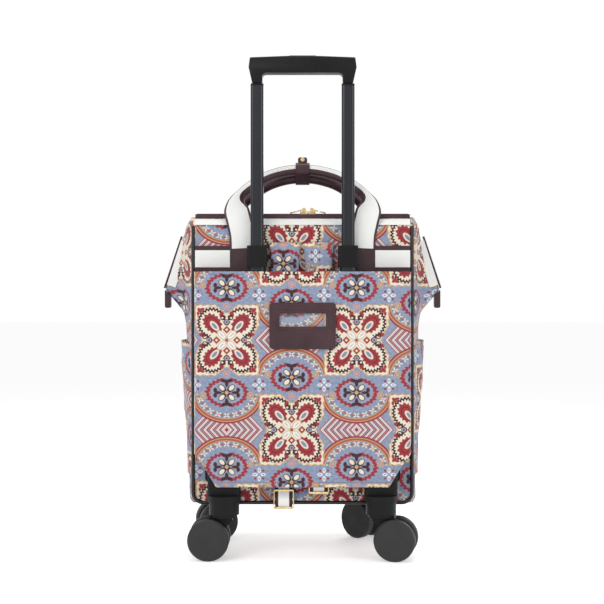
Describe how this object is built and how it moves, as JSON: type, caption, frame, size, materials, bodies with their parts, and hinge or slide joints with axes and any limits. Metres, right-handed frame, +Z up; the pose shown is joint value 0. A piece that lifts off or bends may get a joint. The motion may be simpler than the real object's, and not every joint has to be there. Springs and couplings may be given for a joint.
{
  "type": "rolling backpack",
  "caption": "Wide-mouth cloth backpack on a trolley: telescopic push-button handle, swivelling twin-wheel casters, carry handles, side pockets and stowed shoulder straps.",
  "frame": {"origin": "middle of the box on the floor under the four casters", "axes": "+Z up, -Y towards the trolley side that the picture shows, +X to the right seen from there"},
  "size_m": [0.4214, 0.2366, 0.7318],
  "materials": {
    "jacquard": "woven",
    "leather": "satin",
    "webbing": "woven",
    "piping": "gloss",
    "steel_wire": "bright",
    "board": "matte",
    "zip_tape": "woven",
    "gilt_metal": "polished",
    "clear_film": "clear",
    "black_aluminium": "satin anodised",
    "black_plastic": "fine grain",
    "button_plastic": "satin",
    "wheel_rubber": "matte"
  },
  "bodies": {
    "bag": {"bag_shell": "jacquard", "flap_panel": "jacquard", "side_pocket_left": "jacquard", "side_pocket_right": "jacquard", "shoulder_strap_left": "jacquard", "shoulder_strap_right": "jacquard", "rim_binding": "leather", "ear_bindings": "leather", "ear_tabs": "leather", "band_leather": "leather", "handle_patches": "leather", "carry_handle_rear": "leather", "carry_handle_front": "leather", "handle_wrap": "leather", "luggage_tag": "leather", "rim_webbing": "webbing", "ear_webbing": "webbing", "band_webbing": "webbing", "handle_webbing_rear": "webbing", "handle_webbing_front": "webbing", "strap_webbing_left": "webbing", "strap_webbing_right": "webbing", "piping_rear": "piping", "piping_front": "piping", "mouth_frames": "steel_wire", "base_board": "board", "zip_chain": "zip_tape", "wrap_snap": "gilt_metal", "strap_slider_left": "gilt_metal", "strap_slider_right": "gilt_metal", "tag_window": "clear_film", "outer_tube_left": "black_aluminium", "outer_tube_right": "black_aluminium", "tube_guides": "black_plastic", "base_bracket": "black_plastic", "caster_housings": "black_plastic"},
    "middle_stage": {"middle_tube_left": "black_aluminium", "middle_tube_right": "black_aluminium", "stage_collars": "black_plastic"},
    "inner_stage": {"inner_tube_left": "black_aluminium", "inner_tube_right": "black_aluminium", "grip": "black_plastic"},
    "button": {"grip_button": "button_plastic", "lock_rods": "steel_wire"},
    "zip_runner_left": {"zip_slider_left": "gilt_metal"},
    "zip_puller_left": {"zip_pull_left": "gilt_metal"},
    "zip_runner_right": {"zip_slider_right": "gilt_metal"},
    "zip_puller_right": {"zip_pull_right": "gilt_metal"},
    "caster_near_left": {"fork_near_left": "black_plastic"},
    "roller_near_left_a": {"wheel_near_left_a": "wheel_rubber"},
    "roller_near_left_b": {"wheel_near_left_b": "wheel_rubber"},
    "caster_near_right": {"fork_near_right": "black_plastic"},
    "roller_near_right_a": {"wheel_near_right_a": "wheel_rubber"},
    "roller_near_right_b": {"wheel_near_right_b": "wheel_rubber"},
    "caster_far_left": {"fork_far_left": "black_plastic"},
    "roller_far_left_a": {"wheel_far_left_a": "wheel_rubber"},
    "roller_far_left_b": {"wheel_far_left_b": "wheel_rubber"},
    "caster_far_right": {"fork_far_right": "black_plastic"},
    "roller_far_right_a": {"wheel_far_right_a": "wheel_rubber"},
    "roller_far_right_b": {"wheel_far_right_b": "wheel_rubber"}
  },
  "joints": [
    {"name": "middle_slide", "type": "slide", "parent": "bag", "child": "middle_stage", "axis": [0, 0, 1], "range_m": [-0.19, 0]},
    {"name": "inner_slide", "type": "slide", "parent": "middle_stage", "child": "inner_stage", "axis": [0, 0, 1], "range_m": [0, 0.235]},
    {"name": "button_press", "type": "slide", "parent": "inner_stage", "child": "button", "axis": [0, 0, 1], "range_m": [-0.0035, 0], "stiffness_N_per_m": 1200, "springref_m": 0.002},
    {"name": "zip_run_left", "type": "slide", "parent": "bag", "child": "zip_runner_left", "axis": [-1, 0, 0], "range_m": [0, 0.152]},
    {"name": "pull_swing_left", "type": "hinge", "parent": "zip_runner_left", "child": "zip_puller_left", "pos_m": [0.002, -0.011, 0.5132], "axis": [0, 1, 0], "range_deg": [0, 100]},
    {"name": "zip_run_right", "type": "slide", "parent": "bag", "child": "zip_runner_right", "axis": [1, 0, 0], "range_m": [0, 0.136]},
    {"name": "pull_swing_right", "type": "hinge", "parent": "zip_runner_right", "child": "zip_puller_right", "pos_m": [0.014, -0.011, 0.5132], "axis": [0, -1, 0], "range_deg": [0, 100]},
    {"name": "swivel_near_left", "type": "hinge", "parent": "bag", "child": "caster_near_left", "pos_m": [-0.114, -0.0845, 0], "axis": [0, 0, 1], "continuous": true},
    {"name": "roll_near_left_a", "type": "hinge", "parent": "caster_near_left", "child": "roller_near_left_a", "pos_m": [-0.136, -0.0845, 0.03], "axis": [0, -1, 0], "continuous": true},
    {"name": "roll_near_left_b", "type": "hinge", "parent": "caster_near_left", "child": "roller_near_left_b", "pos_m": [-0.136, -0.0845, 0.03], "axis": [0, -1, 0], "continuous": true},
    {"name": "swivel_near_right", "type": "hinge", "parent": "bag", "child": "caster_near_right", "pos_m": [0.114, -0.0845, 0], "axis": [0, 0, 1], "continuous": true},
    {"name": "roll_near_right_a", "type": "hinge", "parent": "caster_near_right", "child": "roller_near_right_a", "pos_m": [0.13552, -0.08907, 0.03], "axis": [0.2079, 0.9781, 0], "continuous": true},
    {"name": "roll_near_right_b", "type": "hinge", "parent": "caster_near_right", "child": "roller_near_right_b", "pos_m": [0.13552, -0.08907, 0.03], "axis": [0.2079, 0.9781, 0], "continuous": true},
    {"name": "swivel_far_left", "type": "hinge", "parent": "bag", "child": "caster_far_left", "pos_m": [-0.114, 0.0655, 0], "axis": [0, 0, 1], "continuous": true},
    {"name": "roll_far_left_a", "type": "hinge", "parent": "caster_far_left", "child": "roller_far_left_a", "pos_m": [-0.13535, 0.06018, 0.03], "axis": [0.2419, -0.9703, 0], "continuous": true},
    {"name": "roll_far_left_b", "type": "hinge", "parent": "caster_far_left", "child": "roller_far_left_b", "pos_m": [-0.13535, 0.06018, 0.03], "axis": [0.2419, -0.9703, 0], "continuous": true},
    {"name": "swivel_far_right", "type": "hinge", "parent": "bag", "child": "caster_far_right", "pos_m": [0.114, 0.0655, 0], "axis": [0, 0, 1], "continuous": true},
    {"name": "roll_far_right_a", "type": "hinge", "parent": "caster_far_right", "child": "roller_far_right_a", "pos_m": [0.09844, 0.08106, 0.03], "axis": [-0.7071, -0.7071, 0], "continuous": true},
    {"name": "roll_far_right_b", "type": "hinge", "parent": "caster_far_right", "child": "roller_far_right_b", "pos_m": [0.09844, 0.08106, 0.03], "axis": [-0.7071, -0.7071, 0], "continuous": true}
  ]
}
